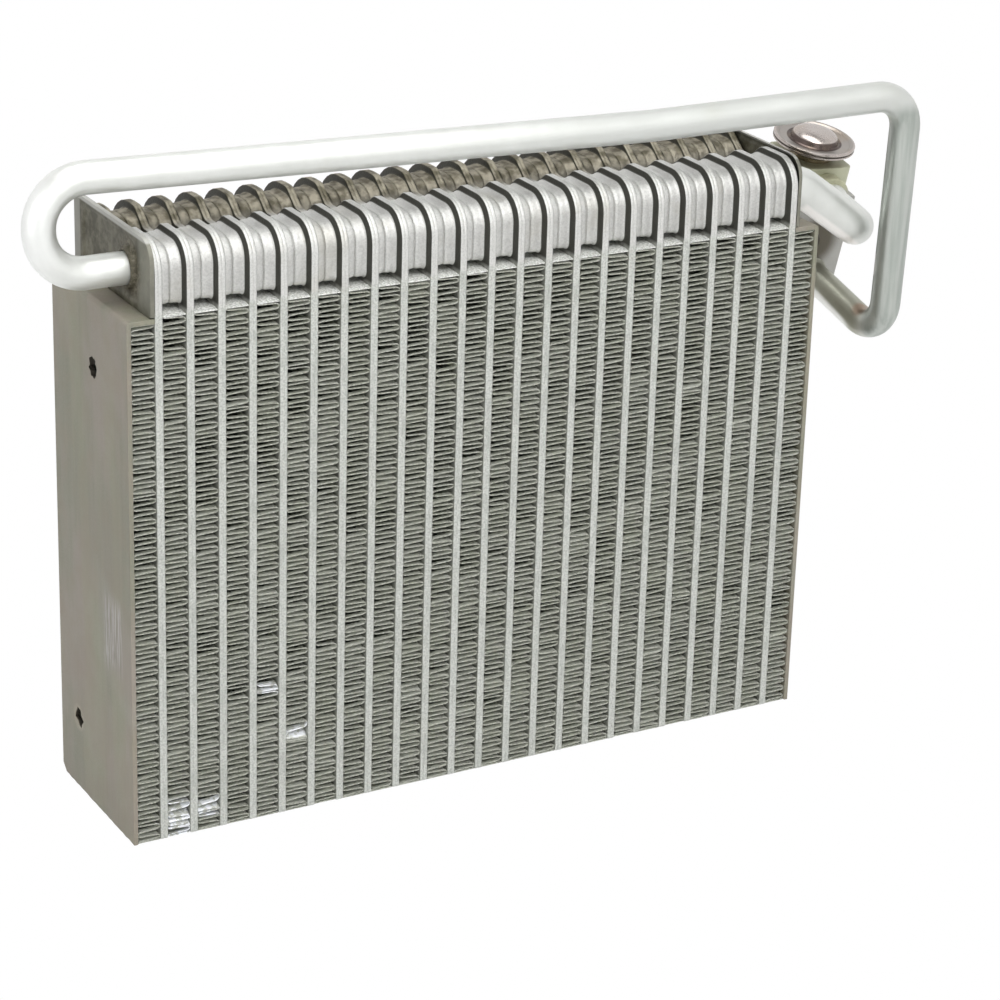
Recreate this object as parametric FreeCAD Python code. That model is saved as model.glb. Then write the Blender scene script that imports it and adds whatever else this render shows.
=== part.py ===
"""Automotive evaporator core with its liquid pipe, suction pipe and block expansion valve.

Millimetres. X runs along the row of tubes, Y through the core from the air's front face (negative)
to its back, Z up. The origin is the middle of the core's bottom face.
Each tube is two pressed plates, brazed rim to rim, whose cups meet the next tube's cups and
make the two headers of the tank on top. A folded fin fills each gap between two tubes.
"""

import math
import os

import FreeCAD
import Part

# Core
tube_count = 23
tube_pitch = 11.0
tube_thickness = 2.8
core_depth = 64.0
side_height = 186.0
tank_height = 24.6
plate_front_radius = 10.0
plate_back_radius_share = 0.25
valley_half_width = 10.0
valley_depth = 5.6

# Header cups, drawn out of the plates
cup_front_margin = 3.7
cup_inner_margin = 4.0
cup_bottom_margin = 2.7
cup_top_margin = 2.6
cup_inner_radius = 7.0
corner_chords = 2

# Folded fins
fin_sheet = 0.2
fin_leg_pitch = 10.8
fin_setback = 0.6
fin_bottom = 1.0

# Side plates
side_sheet = 1.6
side_bend_radius = 1.5
side_corner_cut = 3.0
hole_width = 6.0
hole_length = 8.0
low_hole_y = 16.0
low_hole_rise = 27.0
high_hole_y = -3.0
high_hole_drop = 24.0

# Tank end plates
end_sheet = 1.5
end_crown = 0.9
end_corner_radius = 9.0
end_recess_depth = 0.6
end_recess_front_margin = 11.0
end_recess_back_margin = 8.0
end_recess_margin = 2.6
end_recess_radius = 6.0
collar_height = 1.6
collar_wall = 1.5

# Pipes
bend_step = 18.0
pipe_sides = 18
pipe_clearance = 0.15
liquid_diameter = 11.0
liquid_joint_inset = 18.0
liquid_joint_rise = 12.3
liquid_hairpin_reach = 31.6
liquid_hairpin_radius = 15.5
liquid_hairpin_rise = 31.9
liquid_kink_inset = 56.4
liquid_kink_depth = 9.0
liquid_kink_rise = 16.4
liquid_top_depth = 4.0
liquid_top_rise = 18.4
liquid_top_radius = 10.0
liquid_low_depth = 9.0
liquid_low_drop = 51.5
liquid_low_radius = 8.0
suction_diameter = 14.0
suction_joint_inset = 17.0
suction_joint_rise = 10.0
suction_turn_reach = 11.6
suction_turn_radius = 10.0
suction_elbow_reach = 32.0
suction_elbow_radius = 13.0

# Expansion valve, in its own frame: Z along the valve, ports facing -Y, zero at the head's rim
valve_reach = 47.6
valve_setback = 60.0
valve_rise = 11.7
valve_lean = 12.0
valve_roll = 4.0
block_width = 23.0
block_depth = 24.0
block_top = -6.0
block_bottom = -62.0
block_edge_radius = 2.0
suction_port_z = -17.5
liquid_port_z = -47.0
port_insertion = 7.0
port_depth = 8.0
line_suction_radius = 8.1
line_liquid_radius = 5.1
line_liquid_z = -40.5
line_port_depth = 9.0
tapped_radius = 2.5
tapped_depth = 11.0
line_tapped_z = -30.5

# Power head
head_collar_radius = 9.5
head_rim_radius = 15.6
head_rim_half = 1.2
head_dome_radius = 9.0
head_dome_height = 4.2

# Clamp plate and spring plug
clamp_radius = 9.5
clamp_thickness = 5.0
clamp_width = 25.0
clamp_shoulder = 2.0
clamp_foot = 8.0
clamp_corner_cut = 2.0
plug_flats = 10.0
plug_height = 3.0

plate_depth = tube_thickness / 2
plate_top = side_height + tank_height
plate_back_radius = plate_back_radius_share * core_depth
front = -core_depth / 2
back = core_depth / 2
row_end = (tube_count - 1) / 2 * tube_pitch + plate_depth
fin_width = tube_pitch - tube_thickness
side_inner = row_end + fin_width
side_outer = side_inner + side_sheet


def vector(x, y, z):
    return FreeCAD.Vector(x, y, z)


def prism_along_x(outline, start, end):
    """A solid with a (y, z) outline between two places along X."""
    points = [vector(start, y, z) for y, z in outline]
    face = Part.Face(Part.makePolygon(points + points[:1]))
    return face.extrude(vector(end - start, 0, 0))


def eased(corners):
    """Outline points from (y, z, radius) corners: a radius is cut by a few straight chords."""
    points = []
    for place, (y, z, radius) in enumerate(corners):
        if radius == 0:
            points.append((y, z))
            continue
        corner = vector(0, y, z)
        before = vector(0, *corners[place - 1][:2]) - corner
        after = vector(0, *corners[(place + 1) % len(corners)][:2]) - corner
        before.normalize()
        after.normalize()
        half_angle = before.getAngle(after) / 2
        centre = corner + (before + after).normalize() * (radius / math.sin(half_angle))
        first = corner + before * (radius / math.tan(half_angle)) - centre
        last = corner + after * (radius / math.tan(half_angle)) - centre
        for step in range(corner_chords + 1):
            share = step / corner_chords
            spoke = (first * (1 - share) + last * share).normalize() * radius
            points.append((centre.y + spoke.y, centre.z + spoke.z))
    return points


# Tube plates
def plate_outline():
    return eased([
        (front, 0, 0),
        (back, 0, 0),
        (back, plate_top, plate_back_radius),
        (valley_half_width, plate_top, 0),
        (0, plate_top - valley_depth, 0),
        (-valley_half_width, plate_top, 0),
        (front, plate_top, plate_front_radius),
    ])


def cup_outline(side, corner_radius):
    """The front header's cup for side -1, the back one's for side 1, under the plate's corner."""
    inner = side * cup_inner_margin
    outer = side * (core_depth / 2 - cup_front_margin)
    bottom = side_height + cup_bottom_margin
    top = plate_top - cup_top_margin
    return eased([
        (inner, bottom, 0),
        (inner, top, cup_inner_radius),
        (outer, top, corner_radius - cup_top_margin),
        (outer, bottom, 0),
    ])


def tube_plate(hand, with_cups):
    """One pressed plate on the left (hand -1) or right of its tube's middle plane."""
    plate = prism_along_x(plate_outline(), 0, hand * plate_depth)
    if with_cups:
        for side, radius in ((-1, plate_front_radius), (1, plate_back_radius)):
            cup = prism_along_x(cup_outline(side, radius), 0, hand * tube_pitch / 2)
            plate = plate.fuse(cup)
    return plate.removeSplitter()


def tubes():
    cupped = {hand: tube_plate(hand, True) for hand in (-1, 1)}
    flat = {hand: tube_plate(hand, False) for hand in (-1, 1)}
    pairs = []
    for number in range(tube_count):
        middle = (number - (tube_count - 1) / 2) * tube_pitch
        halves = []
        for hand in (-1, 1):
            is_end = number == (0 if hand < 0 else tube_count - 1)
            plate = (flat if is_end else cupped)[hand].copy()
            plate.translate(vector(middle, 0, 0))
            halves.append(plate)
        pairs.append(Part.makeCompound(halves))
    return pairs


# Fins
def fin():
    """A folded sheet between two tubes, its folds on the tubes' faces, left fold line at x = 0."""
    top = side_height - side_sheet
    legs = round((top - fin_bottom) / fin_leg_pitch)
    rise = (top - fin_bottom) / legs
    fold = fin_sheet / math.sin(math.atan2(rise, fin_width))
    left_side = [
        ((fin_width - fold) * (leg % 2), fin_bottom + rise * leg)
        for leg in range(legs + 1)
    ]
    right_side = [(x + fold, z) for x, z in reversed(left_side)]
    points = [vector(x, front + fin_setback, z) for x, z in left_side + right_side]
    face = Part.Face(Part.makePolygon(points + points[:1]))
    return face.extrude(vector(0, core_depth - 2 * fin_setback, 0))


def fins():
    folded = fin()
    columns = []
    for number in range(tube_count + 1):
        column = folded.copy()
        column.translate(vector(number * tube_pitch - side_inner, 0, 0))
        columns.append(column)
    return columns


# Side plates
def upright_slot(y, z):
    """A cutter for a round-ended upright hole through the left side plate."""
    length = side_outer - row_end
    radius = hole_width / 2
    reach = (hole_length - hole_width) / 2
    ends = [
        Part.makeCylinder(radius, length, vector(-side_outer, y, z + shift), vector(1, 0, 0))
        for shift in (-reach, reach)
    ]
    web = Part.makeBox(length, hole_width, 2 * reach, vector(-side_outer, y - radius, z - reach))
    return ends[0].multiFuse([ends[1], web]).removeSplitter()


def side_plate():
    """The right side plate: a panel on the last fin with its top folded in over that fin."""
    panel = Part.makeBox(side_sheet, core_depth, side_height, vector(side_inner, front, 0))
    shelf = Part.makeBox(
        side_outer - row_end, core_depth, side_sheet,
        vector(row_end, front, side_height - side_sheet),
    )
    plate = panel.fuse(shelf).removeSplitter()
    bend = edge_through(plate, side_outer, 0, side_height)
    plate = plate.makeFillet(side_bend_radius, [bend])
    corner = edge_through(plate, side_outer - side_sheet / 2, back, 0)
    return plate.makeChamfer(side_corner_cut, [corner])


def edge_through(shape, x, y, z):
    """The straight edge whose middle is at the given place."""
    place = vector(x, y, z)
    return min(shape.Edges, key=lambda edge: edge.CenterOfMass.distanceToPoint(place))


# Tank end plates
def tank_end_plate(hand, joint, diameter):
    """The plate that closes the tank at one end, with a drawn collar round the pipe's joint."""
    outer = row_end + end_sheet
    floor = outer - end_recess_depth
    top = plate_top + end_crown
    plate = prism_along_x(
        eased([
            (front, side_height, 0),
            (back, side_height, 0),
            (back, top, end_corner_radius),
            (front, top, end_corner_radius),
        ]),
        hand * row_end,
        hand * outer,
    )
    recess_front = front + end_recess_front_margin
    recess_back = back - end_recess_back_margin
    low = side_height + end_recess_margin
    high = top - end_recess_margin
    recess = prism_along_x(
        eased([
            (recess_front, low, 0),
            (recess_back, low, 0),
            (recess_back, high, end_recess_radius),
            (recess_front, high, end_recess_radius),
        ]),
        hand * floor,
        hand * outer,
    )
    outward = vector(hand, 0, 0)
    mouth_radius = diameter / 2 + pipe_clearance
    collar = Part.makeCylinder(
        mouth_radius + collar_wall, end_recess_depth + collar_height,
        vector(hand * floor, joint.y, joint.z), outward,
    )
    mouth = Part.makeCylinder(mouth_radius, end_sheet + collar_height, joint, outward)
    return plate.cut(recess).fuse(collar).cut(mouth)


# Pipes
def bend_points(before, corner, after, bend_radius):
    """The corners of a bend made of short straight lengths that touch its round centre line."""
    toward = (before - corner).normalize()
    away = (after - corner).normalize()
    half_angle = toward.getAngle(away) / 2
    centre = corner + (toward + away).normalize() * (bend_radius / math.sin(half_angle))
    spoke = corner + toward * (bend_radius / math.tan(half_angle)) - centre
    turn = 180 - math.degrees(2 * half_angle)
    joints = math.ceil(turn / bend_step)
    stretch = 1 / math.cos(math.radians(turn / joints / 2))
    axis = away.cross(toward)
    points = []
    for joint in range(joints):
        turned = FreeCAD.Rotation(axis, turn * (joint + 0.5) / joints).multVec(spoke)
        points.append(centre + turned * stretch)
    return points


def round_bar(stations, diameter):
    """A bar of many sides along (corner, bend radius) stations; radius 0 is a plain corner."""
    corners = [corner for corner, _ in stations]
    points = corners[:1]
    for place in range(1, len(stations) - 1):
        corner, bend_radius = stations[place]
        if bend_radius == 0:
            points.append(corner)
        else:
            points += bend_points(corners[place - 1], corner, corners[place + 1], bend_radius)
    points.append(corners[-1])
    heading = (points[1] - points[0]).normalize()
    across = heading.cross(vector(0, 0, 1)).normalize() * (diameter / 2)
    rim = [
        points[0] + FreeCAD.Rotation(heading, 360 * side / pipe_sides).multVec(across)
        for side in range(pipe_sides + 1)
    ]
    ring = Part.makePolygon(rim)
    return Part.makePolygon(points).makePipeShell([ring], True, False, 1)


def liquid_joint():
    return vector(-row_end, front + liquid_joint_inset, side_height + liquid_joint_rise)


def suction_joint():
    return vector(row_end, front + suction_joint_inset, side_height + suction_joint_rise)


def valve_frame():
    place = vector(row_end + valve_reach, front + valve_setback, side_height + valve_rise)
    lean = FreeCAD.Rotation(vector(1, 0, 0), valve_lean)
    roll = FreeCAD.Rotation(vector(0, 1, 0), valve_roll)
    return FreeCAD.Placement(place, lean.multiply(roll))


def in_front_of_port(port_z, distance):
    """The place at this distance before the block's front face, on a port's own line."""
    return valve_frame().multVec(vector(0, -block_depth / 2 - distance, port_z))


def liquid_pipe():
    """From the valve's liquid port round and over the tank to the left end plate."""
    joint = liquid_joint()
    valve_x = row_end + valve_reach
    hairpin_x = joint.x - liquid_hairpin_reach
    low = vector(valve_x, front + liquid_low_depth, side_height - liquid_low_drop)
    top = vector(valve_x, front + liquid_top_depth, plate_top + liquid_top_rise)
    kink = vector(
        row_end - liquid_kink_inset, front + liquid_kink_depth, plate_top + liquid_kink_rise
    )
    return round_bar([
        (in_front_of_port(liquid_port_z, -port_insertion), 0),
        (in_front_of_port(liquid_port_z, clamp_thickness + liquid_diameter / 2), 0),
        (low, liquid_low_radius),
        (top, liquid_top_radius),
        (kink, 0),
        (vector(hairpin_x, joint.y, joint.z + liquid_hairpin_rise), liquid_hairpin_radius),
        (vector(hairpin_x, joint.y, joint.z), liquid_hairpin_radius),
        (joint, 0),
    ], liquid_diameter)


def suction_pipe():
    """From the tank's right end, down to an elbow and back into the valve's suction port."""
    joint = suction_joint()
    return round_bar([
        (joint, 0),
        (joint + vector(suction_turn_reach, 0, 0), suction_turn_radius),
        (in_front_of_port(suction_port_z, suction_elbow_reach), suction_elbow_radius),
        (in_front_of_port(suction_port_z, -port_insertion), 0),
    ], suction_diameter)


# Expansion valve
def bore(radius, side, z, depth):
    """A cutter for a round hole into the block's front face (side -1) or back face (side 1)."""
    mouth = vector(0, side * block_depth / 2, z)
    return Part.makeCylinder(radius, depth, mouth, vector(0, -side, 0))


def valve_block():
    height = block_top - block_bottom
    block = Part.makeBox(
        block_width, block_depth, height,
        vector(-block_width / 2, -block_depth / 2, block_bottom),
    )
    upright = [edge for edge in block.Edges if edge.BoundBox.ZLength > height / 2]
    block = block.makeFillet(block_edge_radius, upright)
    cutters = [
        bore(suction_diameter / 2 + pipe_clearance, -1, suction_port_z, port_depth),
        bore(liquid_diameter / 2 + pipe_clearance, -1, liquid_port_z, port_depth),
        bore(line_suction_radius, 1, suction_port_z, line_port_depth),
        bore(line_liquid_radius, 1, line_liquid_z, line_port_depth),
        bore(tapped_radius, 1, line_tapped_z, tapped_depth),
    ]
    return block.cut(cutters[0].multiFuse(cutters[1:]))


def power_head():
    """The diaphragm capsule: a collar on the block, two shells joined in a rim, and a dome."""
    levels = [block_top, -head_rim_half, head_rim_half, head_dome_height]
    radii = [head_collar_radius, head_rim_radius, head_dome_radius]
    discs = [
        Part.makeCylinder(radius, top - bottom, vector(0, 0, bottom))
        for radius, bottom, top in zip(radii, levels, levels[1:])
    ]
    return discs[0].multiFuse(discs[1:])


def clamp_plate():
    """The plate that holds both pipes in the block, round above the suction pipe."""
    face = -block_depth / 2 - clamp_thickness
    heading = vector(0, 1, 0)
    bottom = liquid_port_z - clamp_foot
    body = Part.makeBox(
        clamp_width, clamp_thickness, suction_port_z + clamp_shoulder - bottom,
        vector(-clamp_width / 2, face, bottom),
    )
    through = [edge for edge in body.Edges if edge.BoundBox.YLength > clamp_thickness / 2]
    body = body.makeChamfer(clamp_corner_cut, through)
    top = Part.makeCylinder(clamp_radius, clamp_thickness, vector(0, face, suction_port_z), heading)
    plate = body.fuse(top)
    for diameter, z in ((suction_diameter, suction_port_z), (liquid_diameter, liquid_port_z)):
        radius = diameter / 2 + pipe_clearance
        plate = plate.cut(Part.makeCylinder(radius, clamp_thickness, vector(0, face, z), heading))
    return plate


def spring_plug():
    """The hexagon plug that closes the valve's spring chamber from below."""
    radius = plug_flats / math.sqrt(3)
    bottom = block_bottom - plug_height
    points = [
        vector(radius * math.cos(math.radians(turn)), radius * math.sin(math.radians(turn)), bottom)
        for turn in range(0, 361, 60)
    ]
    return Part.Face(Part.makePolygon(points)).extrude(vector(0, 0, plug_height))


def placed(shape):
    """A copy of a valve piece, moved from the valve's frame to the part's."""
    moved = shape.copy()
    moved.Placement = valve_frame().multiply(moved.Placement)
    return moved


def nodes():
    named = {}
    for number, pair in enumerate(tubes(), start=1):
        named[f"tube_{number:02d}"] = pair
    for number, column in enumerate(fins(), start=1):
        named[f"fin_{number:02d}"] = column
    left_side = side_plate().mirror(vector(0, 0, 0), vector(1, 0, 0))
    for y, z in ((low_hole_y, low_hole_rise), (high_hole_y, side_height - high_hole_drop)):
        left_side = left_side.cut(upright_slot(y, z))
    named["side_plate_left"] = left_side
    named["side_plate_right"] = side_plate()
    named["tank_end_plate_left"] = tank_end_plate(-1, liquid_joint(), liquid_diameter)
    named["tank_end_plate_right"] = tank_end_plate(1, suction_joint(), suction_diameter)
    named["liquid_pipe"] = liquid_pipe()
    named["suction_pipe"] = suction_pipe()
    named["valve_block"] = placed(valve_block())
    named["valve_power_head"] = placed(power_head())
    named["pipe_clamp_plate"] = placed(clamp_plate())
    named["valve_spring_plug"] = placed(spring_plug())
    return named


def main():
    os.makedirs("parts", exist_ok=True)
    for name, shape in nodes().items():
        shape.exportStep(f"parts/{name}.step")


main()
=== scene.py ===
import math

import bpy
import numpy as np
from mathutils import Matrix, Vector
from mathutils.geometry import tessellate_polygon


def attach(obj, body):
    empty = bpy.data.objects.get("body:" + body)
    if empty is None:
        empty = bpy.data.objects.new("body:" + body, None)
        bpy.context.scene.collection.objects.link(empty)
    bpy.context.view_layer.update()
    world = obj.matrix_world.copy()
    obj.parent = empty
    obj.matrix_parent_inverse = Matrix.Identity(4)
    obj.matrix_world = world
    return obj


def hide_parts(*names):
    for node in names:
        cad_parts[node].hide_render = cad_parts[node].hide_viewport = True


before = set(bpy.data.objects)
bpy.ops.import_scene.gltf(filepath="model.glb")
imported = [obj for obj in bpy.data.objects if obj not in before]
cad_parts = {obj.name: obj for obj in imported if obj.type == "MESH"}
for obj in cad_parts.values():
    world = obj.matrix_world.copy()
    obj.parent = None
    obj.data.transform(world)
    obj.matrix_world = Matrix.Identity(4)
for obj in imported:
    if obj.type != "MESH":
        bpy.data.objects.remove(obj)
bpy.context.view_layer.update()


# Camera: a long lens in front of the core, to its left and above it, as in the photograph.
# Its angles, distance and target are the ones that put the core's corners on their pixels.
azimuth = math.radians(-29.57)
elevation = math.radians(21.05)
roll = math.radians(1.72)
camera_distance = 1.1242
camera_target = Vector((0.0231, 0.0, 0.1068))
sensor_width = 36.0
lens_per_frame = 3.159
frame_shift = -0.05

toward_camera = Vector((
    math.sin(azimuth) * math.cos(elevation),
    -math.cos(azimuth) * math.cos(elevation),
    math.sin(elevation),
))
level_right = Vector((0, 0, 1)).cross(toward_camera).normalized()
level_up = toward_camera.cross(level_right)
right = math.cos(roll) * level_right + math.sin(roll) * level_up
up = math.cos(roll) * level_up - math.sin(roll) * level_right

camera_data = bpy.data.cameras.new("camera")
camera_data.sensor_width = sensor_width
camera_data.lens = sensor_width * lens_per_frame
camera_data.shift_y = frame_shift
camera_data.clip_end = 20.0
camera = bpy.data.objects.new("camera", camera_data)
rotation = Matrix((right, up, toward_camera)).transposed()
camera.matrix_world = Matrix.Translation(
    camera_target + toward_camera * camera_distance
) @ rotation.to_4x4()
bpy.context.scene.collection.objects.link(camera)
bpy.context.scene.camera = camera


# Studio: a pale floor and four backdrops, white to the camera, under soft lights from the
# front, above and the left, with the same white all round that the photograph's metal reflects.
class Socket:
    """A node's output, which can be used in sums and products."""

    def __init__(self, tree, output=None):
        self.tree = tree
        self.output = output

    def node(self, kind, settings, inputs, output=0):
        """A new node of any kind, with its settings, its inputs' values or links, and one output."""
        made = self.tree.nodes.new(kind)
        for name, value in settings.items():
            setattr(made, name, value)
        for name, value in inputs.items():
            self.feed(made.inputs[name], value)
        return Socket(self.tree, made.outputs[output])

    def feed(self, entry, value):
        if isinstance(value, Socket):
            self.tree.links.new(value.output, entry)
        elif isinstance(value, tuple) and len(value) == 3 and entry.type == "RGBA":
            entry.default_value = (*value, 1.0)
        else:
            entry.default_value = value

    def maths(self, operation, *values):
        """A Math node whose inputs are this and then the values."""
        inputs = dict(enumerate((self, *values)))
        return self.node("ShaderNodeMath", {"operation": operation}, inputs)

    def __add__(self, other):
        return self.maths("ADD", other)

    __radd__ = __add__

    def __mul__(self, other):
        return self.maths("MULTIPLY", other)

    __rmul__ = __mul__

    def __sub__(self, other):
        return self.maths("SUBTRACT", other)

    def __rsub__(self, other):
        return self.node("ShaderNodeMath", {"operation": "SUBTRACT"}, {0: other, 1: self})

    def __neg__(self):
        return -1 * self

    def __abs__(self):
        return self.maths("ABSOLUTE")

    def between(self, low, high):
        """0 below low, 1 above high, smooth in between."""
        settings = {"interpolation_type": "SMOOTHSTEP"}
        return self.node("ShaderNodeMapRange", settings, {"Value": self, 1: low, 2: high})

    def blend(self, low, high):
        """The colour low where this is 0 and high where it is 1."""
        settings = {"data_type": "RGBA", "clamp_factor": True}
        return self.node("ShaderNodeMix", settings, {0: self, 6: low, 7: high}, 2)

    def stretched(self, x, y, z):
        """This place, with each axis multiplied."""
        return self.node("ShaderNodeVectorMath", {"operation": "MULTIPLY"}, {0: self, 1: (x, y, z)})

    def distance(self, x, y, z):
        """How far this place is from another."""
        settings = {"operation": "DISTANCE"}
        return self.node("ShaderNodeVectorMath", settings, {0: self, 1: (x, y, z)}, 1)

    def noise(self, scale, detail=2.0, roughness=0.5):
        inputs = {"Vector": self, "Scale": scale, "Detail": detail, "Roughness": roughness}
        return self.node("ShaderNodeTexNoise", {}, inputs)

    def axis(self, index):
        return self.node("ShaderNodeSeparateXYZ", {}, {0: self}, index)

    def inside(self, low, high, soft):
        """1 where this value is between low and high, with soft ends."""
        return self.between(low - soft, low) * (1 - self.between(high, high + soft))


def start_material(name, **constants):
    """A new material with constant shader inputs; gives it, its shader and the place shaded."""
    material = bpy.data.materials.new(name)
    material.use_nodes = True
    tree = material.node_tree
    shader = tree.nodes["Principled BSDF"]
    for entry, value in constants.items():
        shader.inputs[entry.replace("_", " ")].default_value = value
    place = Socket(tree).node("ShaderNodeTexCoord", {}, {}, "Object")
    return material, shader, place


def finish_material(place, shader, color, roughness, height, depth):
    """Feeds the shader its colour and roughness, and a bump from a height that is depth metres deep."""
    place.feed(shader.inputs["Base Color"], color)
    place.feed(shader.inputs["Roughness"], roughness)
    bump = place.node("ShaderNodeBump", {}, {"Height": height, "Strength": 1.0, "Distance": depth})
    place.feed(shader.inputs["Normal"], bump)


def white_to_camera(name, shade):
    """A pale matt material that is plain white to the camera, in metal and through glass."""
    material, shader, place = start_material(name, Base_Color=(shade, shade, shade, 1), Roughness=0.8)
    seen = 0.0
    for ray in ("Is Camera Ray", "Is Glossy Ray", "Is Transmission Ray"):
        seen = place.node("ShaderNodeLightPath", {}, {}, ray) + seen
    white = place.node("ShaderNodeEmission", {}, {"Color": (1.0, 1.0, 1.0), "Strength": 1.0})
    matt = Socket(material.node_tree, shader.outputs["BSDF"])
    mixed = place.node("ShaderNodeMixShader", {}, {0: seen, 1: matt, 2: white})
    place.feed(material.node_tree.nodes["Material Output"].inputs["Surface"], mixed)
    return material


def plain_square(name, half, material, matrix):
    """A flat square about the matrix's origin, as part of the studio."""
    mesh = bpy.data.meshes.new(name)
    corners = [(-half, -half, 0), (half, -half, 0), (half, half, 0), (-half, half, 0)]
    mesh.from_pydata(corners, [], [(0, 1, 2, 3)])
    mesh.materials.append(material)
    made = bpy.data.objects.new(name, mesh)
    made.matrix_world = matrix
    bpy.context.scene.collection.objects.link(made)


room_half = 6.0
room_rise = 3.0
floor_gap = 0.0004
studio_white = white_to_camera("studio_white", 0.85)
plain_square("floor", room_half, studio_white, Matrix.Translation((0, 0, -floor_gap)))
upright = Matrix.Translation((0, room_half, room_rise)) @ Matrix.Rotation(math.pi / 2, 4, "X")
for turn in range(4):
    wall = Matrix.Rotation(math.radians(90 * turn), 4, "Z") @ upright
    plain_square(f"backdrop_{turn}", room_half, studio_white, wall)


def area_light(name, place, aim, size, power):
    """A soft square lamp that faces its aim."""
    light = bpy.data.lights.new(name, "AREA")
    light.size = size
    light.energy = power
    made = bpy.data.objects.new(name, light)
    look = (Vector(aim) - Vector(place)).to_track_quat("-Z", "Y")
    made.matrix_world = Matrix.Translation(place) @ look.to_matrix().to_4x4()
    bpy.context.scene.collection.objects.link(made)


area_light("key", (-0.1, -1.4, 1.8), (0, 0, 0.1), 1.1, 25.0)
area_light("front", (0.0, -2.4, 0.9), (0, 0, 0.1), 1.8, 12.0)
area_light("top", (0.0, -0.1, 2.0), (0, 0, 0.2), 1.2, 20.0)
area_light("left", (-1.9, -0.7, 0.5), (0, 0, 0.1), 1.4, 9.0)

world = bpy.data.worlds.new("world")
world.use_nodes = True
sky = world.node_tree.nodes["Background"]
sky.inputs["Color"].default_value = (1.0, 1.0, 1.0, 1)
sky.inputs["Strength"].default_value = 0.5
bpy.context.scene.world = world
bpy.context.scene.view_settings.view_transform = "Standard"


# Tubes: each is two pressed aluminium plates, brazed rim to rim, with a fine line between them.
# Their drawn cups meet the next tube's cups in the two headers, which the rims stand proud of.
pitch = 0.011
tube_count = 23
half_depth = 0.032
side_height = 0.186
plate_top = 0.2106
front_corner = 0.010
back_corner = 0.016
foot_radius = 0.0008
valley = 0.0056
valley_half_top = 0.0106
valley_half_floor = 0.0034
valley_radius = 0.0045
valley_floor_radius = 0.0040
cup_bottom = 0.1887
cup_top = 0.2080
cup_inner = 0.0040
cup_outer = 0.0283
cup_foot_radius = 0.0024
cup_inner_radius = 0.007
front_cup_radius = 0.0074
back_cup_radius = 0.0134

# Across one half of a rim and of a cup: how far from the tube's middle, and how far inwards
rim_profile = [
    (0.0, 0.00016), (0.00010, 0.00007), (0.00024, 0.00002), (0.00050, 0.0), (0.00090, 0.0),
    (0.00118, 0.00008), (0.00133, 0.00022), (0.00140, 0.00045),
]
cup_profile = [
    (0.00138, -0.00080), (0.00160, -0.00050), (0.00195, -0.00022), (0.00250, -0.00004),
    (0.00330, 0.0), (0.00430, 0.00003), (0.00490, 0.00012), (0.00522, 0.00024),
    (0.00542, 0.00042), (0.00550, 0.00065),
]


def rounded(corners, steps=8):
    """A closed outline from (u, v, radius) corners, with its round corners cut into steps."""
    points = []
    count = len(corners)
    for index, (u, v, radius) in enumerate(corners):
        corner = Vector((u, v))
        if radius == 0:
            points.append(corner)
            continue
        before = (Vector(corners[index - 1][:2]) - corner).normalized()
        after = (Vector(corners[(index + 1) % count][:2]) - corner).normalized()
        half_angle = before.angle(after) / 2
        centre = corner + (before + after).normalized() * (radius / math.sin(half_angle))
        first = corner + before * (radius / math.tan(half_angle)) - centre
        turn = first.angle_signed(corner + after * (radius / math.tan(half_angle)) - centre)
        for step in range(steps + 1):
            spin = Matrix.Rotation(-turn * step / steps, 2)
            points.append(centre + spin @ first)
    return np.array([tuple(point) for point in points])


def inset(outline, distance):
    """The outline moved inwards by a distance; it runs anticlockwise."""
    ahead = np.roll(outline, -1, axis=0) - outline
    behind = outline - np.roll(outline, 1, axis=0)
    ahead /= np.linalg.norm(ahead, axis=1)[:, None]
    behind /= np.linalg.norm(behind, axis=1)[:, None]
    normal = np.stack([-(ahead + behind)[:, 1], (ahead + behind)[:, 0]], axis=1)
    normal /= np.linalg.norm(normal, axis=1)[:, None]
    lean = np.clip(normal[:, 0] * -ahead[:, 1] + normal[:, 1] * ahead[:, 0], 0.5, 1)
    return outline + normal * (distance / lean)[:, None]


class Build:
    """Vertices and faces of one piece, added part by part."""

    def __init__(self):
        self.vertices = []
        self.faces = []

    def add(self, vertices, faces):
        start = sum(len(block) for block in self.vertices)
        self.vertices.append(np.asarray(vertices, float))
        self.faces += [tuple(start + corner for corner in face) for face in faces]

    def loft(self, loops, first_cap=False, last_cap=False):
        """Quads between loops of equal length, and flat faces over the first and last."""
        count = len(loops[0])
        faces = []
        for row in range(len(loops) - 1):
            for place in range(count):
                after = (place + 1) % count
                low, high = row * count, (row + 1) * count
                faces.append((low + place, low + after, high + after, high + place))
        if first_cap:
            faces.append(tuple(range(count))[::-1])
        if last_cap:
            faces.append(tuple((len(loops) - 1) * count + place for place in range(count)))
        self.add(np.concatenate(loops), faces)

    def holed(self, loops, flip=False):
        """A flat face inside the first loop and outside the others."""
        triangles = tessellate_polygon([[Vector(point) for point in loop] for loop in loops])
        self.add(np.concatenate(loops), [face[::-1] if flip else face for face in triangles])

    def move(self, matrix):
        turn = np.array(matrix.to_3x3())
        shift = np.array(matrix.translation)
        self.vertices = [block @ turn.T + shift for block in self.vertices]

    def piece(self, name, material, nodes, slot, angle=35.0):
        """The finished object, riding on the part and standing for its nodes."""
        mesh = bpy.data.meshes.new(name)
        mesh.from_pydata(np.concatenate(self.vertices).tolist(), [], self.faces)
        mesh.materials.append(material)
        mesh.polygons.foreach_set("use_smooth", [True] * len(mesh.polygons))
        mesh.set_sharp_from_angle(angle=math.radians(angle))
        made = bpy.data.objects.new(name, mesh)
        bpy.context.scene.collection.objects.link(made)
        if nodes:
            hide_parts(*nodes)
        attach(made, "root")
        return made


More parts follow.
